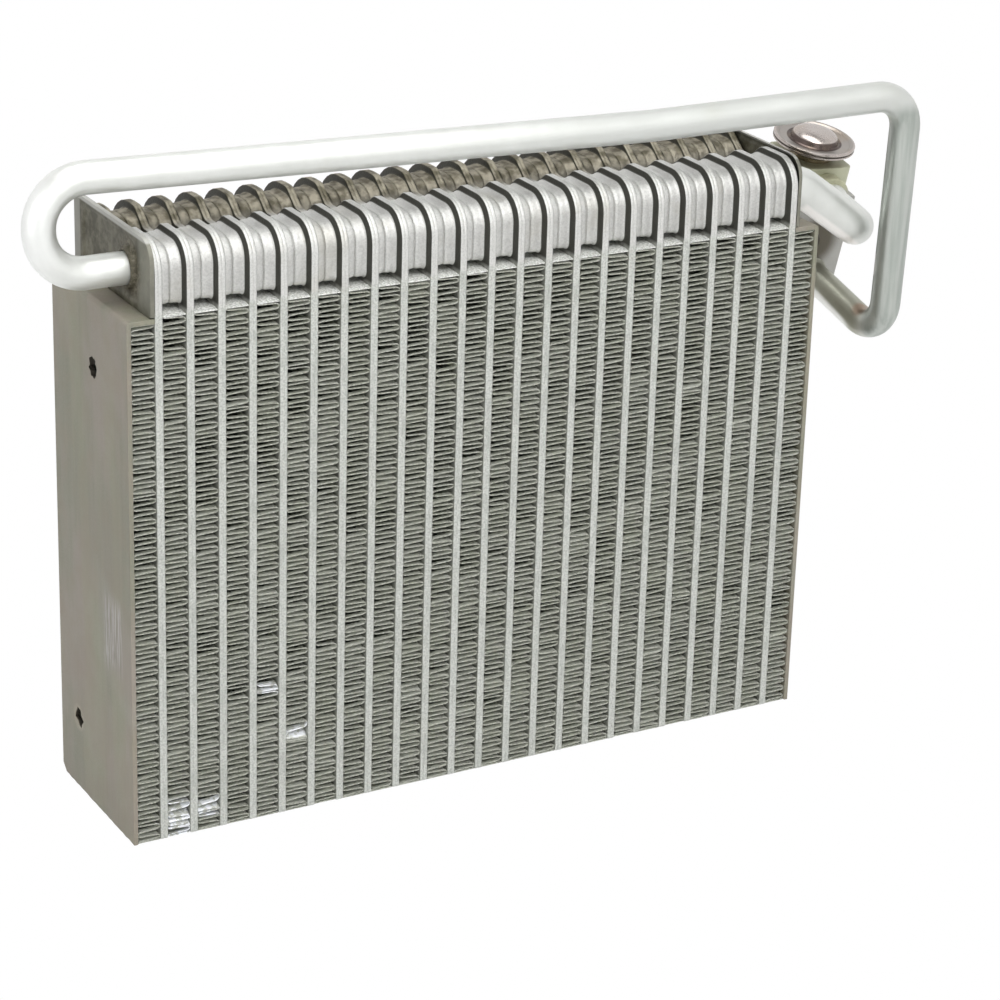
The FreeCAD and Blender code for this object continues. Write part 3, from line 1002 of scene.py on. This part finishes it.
def stepped_bore(build, side, x, z, radius, depth):
    """A bore into the block's front (side -1) or back, and the loop of its mouth."""
    face = side * block_half_depth
    levels = [(radius + 0.0004, 0.0), (radius, 0.0004), (radius, depth - 0.0002),
              (radius * 0.62, depth), (radius * 0.55, depth + 0.0004),
              (radius * 0.55, depth + 0.0022)]
    loops = [circle(x, z, size, face - side * inward) for size, inward in levels]
    build.loft(loops if side > 0 else loops[::-1], side < 0, side > 0)
    return loops[0]


def block_loop(y):
    """The bar's outline at one depth, drawn in towards its rounded front and back edges."""
    turned = max(0.0, (abs(y) - (block_half_depth - block_edge)) / block_edge)
    trim = block_edge * (1 - math.sqrt(max(0.0, 1 - turned ** 2)))
    half = block_half_width - trim
    low, high = block_bottom + 0.15 * trim, block_top - 0.15 * trim
    outline = rounded([(-half, low, 0.0004), (half, low, 0.0004),
                       (half, high, 0.0004), (-half, high, 0.0004)], 4)
    return np.column_stack([outline[:, 0], np.full(len(outline), y), outline[:, 1]])


block = Build()
rounding = np.sin(np.radians(np.linspace(0, 90, 7)))
depths = np.concatenate([-(block_half_depth - block_edge) - block_edge * rounding[::-1],
                         (block_half_depth - block_edge) + block_edge * rounding])
block_loops = [block_loop(y) for y in depths]
block.loft(block_loops[::-1])
front_mouths = [stepped_bore(block, -1, 0, z, radius, front_bore_depth) for z, radius in
                ((suction_port_z, suction_bore), (liquid_port_z, liquid_bore))]
back_mouths = [stepped_bore(block, 1, 0, z, radius, back_bore_depth) for z, radius in
               ((suction_port_z, suction_line_bore), (liquid_line_z, liquid_line_bore),
                (tapped_z, tapped_bore))]
block.holed([block_loops[0]] + front_mouths)
block.holed([block_loops[-1]] + back_mouths, True)
block.move(valve_matrix)
block.piece("valve_block_bar", block_material(), ["valve_block"], "valve_block")


# Power head: two pressed stainless shells welded at their rims round a diaphragm, on a threaded
# neck, with a ring groove round the raised dome that holds the sensing gas.
head_profile = [
    (0.0, -0.0059), (0.0082, -0.0060), (0.0083, -0.0049), (0.0094, -0.0047), (0.0095, -0.0040),
    (0.0103, -0.0032), (0.0120, -0.0025), (0.0132, -0.0020), (0.0137, -0.0014), (0.0146, -0.0012),
    (0.0152, -0.0012), (0.01555, -0.0010), (0.0156, -0.0006), (0.01555, -0.0003), (0.0153, -0.0001),
    (0.0153, 0.0001), (0.01555, 0.0003), (0.0156, 0.0007), (0.01550, 0.0010), (0.0151, 0.0012),
    (0.0140, 0.0012), (0.0136, 0.0009), (0.0133, 0.0006), (0.0125, 0.0004), (0.0110, 0.0003),
    (0.0099, 0.0003), (0.0093, 0.0007), (0.0090, 0.0014), (0.0087, 0.0021), (0.0081, 0.0028),
    (0.0072, 0.0034), (0.0060, 0.0038), (0.0045, 0.0041), (0.0028, 0.0042), (0.0, 0.0042),
]


def head_material():
    """Pressed steel, with its parts told apart by height and radius about the valve's axis."""
    material, shader, place = start_material("head_steel", Metallic=0.92)
    mottle = place.noise(230, 4, 0.6)
    fine = place.noise(2600, 2)
    vector = "ShaderNodeVectorMath"
    along_valve = tuple(valve_matrix.to_3x3() @ Vector((0, 0, 1)))
    offset = place.node(vector, {"operation": "SUBTRACT"}, {0: place, 1: tuple(valve_place)})
    height = place.node(vector, {"operation": "DOT_PRODUCT"}, {0: offset, 1: along_valve}, 1)
    crossed = place.node(vector, {"operation": "CROSS_PRODUCT"}, {0: offset, 1: along_valve})
    radius = place.node(vector, {"operation": "LENGTH"}, {0: crossed}, 1)
    color = mottle.blend((0.38, 0.335, 0.31), (0.58, 0.53, 0.50))
    flat = radius.inside(0.0100, 0.0146, 0.0005) * height.between(-0.0008, -0.0002)
    color = (flat * 0.6).blend(color, (0.27, 0.255, 0.235))
    # Painted shade round the dome's foot, on its flank and in the ring groove
    root = radius.inside(0.0087, 0.0103, 0.0004) * height.between(-0.0008, -0.0002)
    color = (root * 0.9).blend(color, (0.055, 0.035, 0.03))
    groove = radius.between(0.0148, 0.0152) * height.inside(-0.00030, 0.00025, 0.00015)
    color = (groove * 0.9).blend(color, (0.05, 0.04, 0.03))
    under = 1 - height.between(-0.0016, -0.0011)
    color = (under * 0.8).blend(color, (0.22, 0.17, 0.10))
    color = (place.noise(90, 3).between(0.5, 0.7) * 0.35).blend(color, (0.40, 0.31, 0.22))
    roughness = 0.20 + mottle * 0.14 + flat * 0.12
    finish_material(place, shader, color, roughness, fine, 0.00002)
    return material


def revolved(profile, count=96):
    """A turned shape about the valve's axis from (radius, z) points."""
    build = Build()
    turns = np.linspace(0, 2 * math.pi, count, endpoint=False)
    loops = [np.column_stack([r * np.cos(turns), r * np.sin(turns), np.full(count, z)])
             for r, z in profile[1:-1]]
    build.loft(loops, True, True)
    return build


head = revolved(head_profile)
head.move(valve_matrix)
head.piece("valve_power_head_capsule", head_material(), ["valve_power_head"], "power_head", 28.0)


# Clamp plate: a sawn piece of aluminium bar that holds both pipes' beads against the valve.
# Between the pipes it is darkened with a painted shadow of the suction pipe.
clamp_half_width = 0.0125
clamp_radius = 0.0095
clamp_cut = 0.0006
clamp_top = suction_port_z + 0.0020
clamp_bottom = liquid_port_z - 0.0080
clamp_chamfer = 0.0004
clamp_front = -block_half_depth - clamp_thickness
clamp_back = -block_half_depth
pipe_shadow_centre = valve_matrix @ Vector((-0.001, clamp_front, -0.034))


def clamp_material():
    material, shader, place = start_material("clamp_aluminium", Metallic=0.55)
    mottle = place.noise(140, 4, 0.6)
    sawn = place.stretched(1, 1, 0.15).noise(2600, 3)
    color = mottle.blend((0.34, 0.335, 0.31), (0.50, 0.495, 0.47))
    high = place.axis(2).between(0.178, 0.184)
    color = (high * 0.8).blend(color, mottle.blend((0.44, 0.44, 0.27), (0.62, 0.62, 0.42)))
    # Painted shadow of the suction pipe on the plate, between the pipes
    pipe_shadow = 1 - place.distance(*pipe_shadow_centre).between(0.006, 0.0125)
    color = (pipe_shadow * 0.9).blend(color, (0.10, 0.085, 0.055))
    roughness = 0.42 + mottle * 0.18
    finish_material(place, shader, color, roughness, sawn + mottle, 0.00004)
    return material


def clamp_outline():
    """The plate's outline: square at its foot, rounded over the suction pipe."""
    side, corner = clamp_half_width, clamp_half_width - clamp_cut
    points = [(-corner, clamp_bottom), (corner, clamp_bottom), (side, clamp_bottom + clamp_cut),
              (side, clamp_top - clamp_cut), (corner, clamp_top)]
    meet = math.asin((clamp_top - suction_port_z) / clamp_radius)
    for turn in np.linspace(meet, math.pi - meet, 25):
        points.append((clamp_radius * math.cos(turn),
                       suction_port_z + clamp_radius * math.sin(turn)))
    points += [(-corner, clamp_top), (-side, clamp_top - clamp_cut), (-side, clamp_bottom + clamp_cut)]
    return np.array(points)


clamp = Build()
clamp_loops = []
for y, trim in ((clamp_front, 0.0004), (clamp_front + 0.0001, 0.0001), (clamp_front + 0.0004, 0.0),
                (clamp_back - 0.0003, 0.0), (clamp_back, 0.0003)):
    loop = inset(clamp_outline(), trim)
    clamp_loops.append(np.column_stack([loop[:, 0], np.full(len(loop), y), loop[:, 1]]))
clamp.loft(clamp_loops[::-1])
clamp_bores = []
for z, radius in ((suction_port_z, suction_bore), (liquid_port_z, liquid_bore)):
    bore = [circle(0, z, radius + clamp_chamfer, clamp_front),
            circle(0, z, radius, clamp_front + clamp_chamfer), circle(0, z, radius, clamp_back)]
    clamp.loft(bore)
    clamp_bores.append(bore)
clamp.holed([clamp_loops[0]] + [bore[0] for bore in clamp_bores])
clamp.holed([clamp_loops[-1]] + [bore[-1] for bore in clamp_bores], True)
clamp.move(valve_matrix)
clamp.piece("pipe_clamp_plate_bar", clamp_material(), ["pipe_clamp_plate"], "clamp_plate", 30.0)


# Clamp screw: a steel socket-head screw with a knurled head, coloured near black as painted shade. It
# stands to the left of the two pipes' line and passes through the clamp plate into the valve block.
screw_x = -0.0062
screw_z = -0.0325
screw_radius = 0.0050
screw_height = 0.0034
screw_edge = 0.0004
knurl_depth = 0.035
socket_half_width = 0.0022
socket_floor = 0.0010


def screw_material():
    material, shader, place = start_material("screw_painted_shade", Metallic=0.8)
    mottle = place.noise(400, 3)
    # The head's near-black colour is painted shade
    color = mottle.blend((0.045, 0.042, 0.036), (0.12, 0.11, 0.09))
    finish_material(place, shader, color, 0.42 + mottle * 0.2, place.noise(2400, 2), 0.00003)
    return material


def hexagon(half_width, turns):
    """How far a hexagon's sides are from its middle at each turn."""
    return half_width / np.cos((turns % (math.pi / 3)) - math.pi / 6)


turns = np.linspace(0, 2 * math.pi, 72, endpoint=False)
knurl = np.where(np.arange(72) % 2 == 0, 1.0, 1.0 - knurl_depth)
socket = hexagon(socket_half_width, turns)
screw_loops = []
for size, rise in (
    (np.full(72, screw_radius - 0.0003), 0.0),
    (screw_radius * knurl, 0.0002),
    (screw_radius * knurl, screw_height - screw_edge),
    (np.full(72, screw_radius - screw_edge), screw_height),
    (np.full(72, 0.0030), screw_height),
    (socket, screw_height),
    (socket, socket_floor),
):
    ring = circle(0, 0, 1.0, 0, 72) * size[:, None]
    screw_loops.append(ring + (screw_x, clamp_front - rise, screw_z))
screw = Build()
screw.loft(screw_loops, False, True)
screw.move(valve_matrix)
screw.piece("clamp_screw_head", screw_material(), [], None, 30.0)


# Spring plug: a turned hexagon screw under the block that sets the valve's spring, with a
# hexagon socket and bevelled corners.
plug_flats = 0.010
plug_height = 0.003
plug_socket = 0.0020


def plug_material():
    material, shader, place = start_material("plug_brass", Metallic=0.85)
    mottle = place.noise(300, 3)
    color = mottle.blend((0.46, 0.38, 0.20), (0.62, 0.53, 0.30))
    finish_material(place, shader, color, 0.32 + mottle * 0.15, place.noise(2600, 2), 0.00002)
    return material


flats = hexagon(plug_flats / 2, turns)
foot = block_bottom - plug_height
plug_loops = []
for size, z in (
    (flats, block_bottom),
    (flats, foot + 0.0006),
    (np.minimum(flats, plug_flats / 2 + 0.0001), foot + 0.0001),
    (np.full(72, plug_flats / 2 - 0.0003), foot),
    (flats * 0.5, foot),
    (flats * 0.5, foot + plug_socket),
):
    plug_loops.append(np.column_stack([size * np.cos(turns), size * np.sin(turns), np.full(72, z)]))
plug = Build()
plug.loft(plug_loops[::-1], True, True)
plug.move(valve_matrix)
plug.piece("valve_spring_plug_screw", plug_material(), ["valve_spring_plug"], "spring_plug", 30.0)
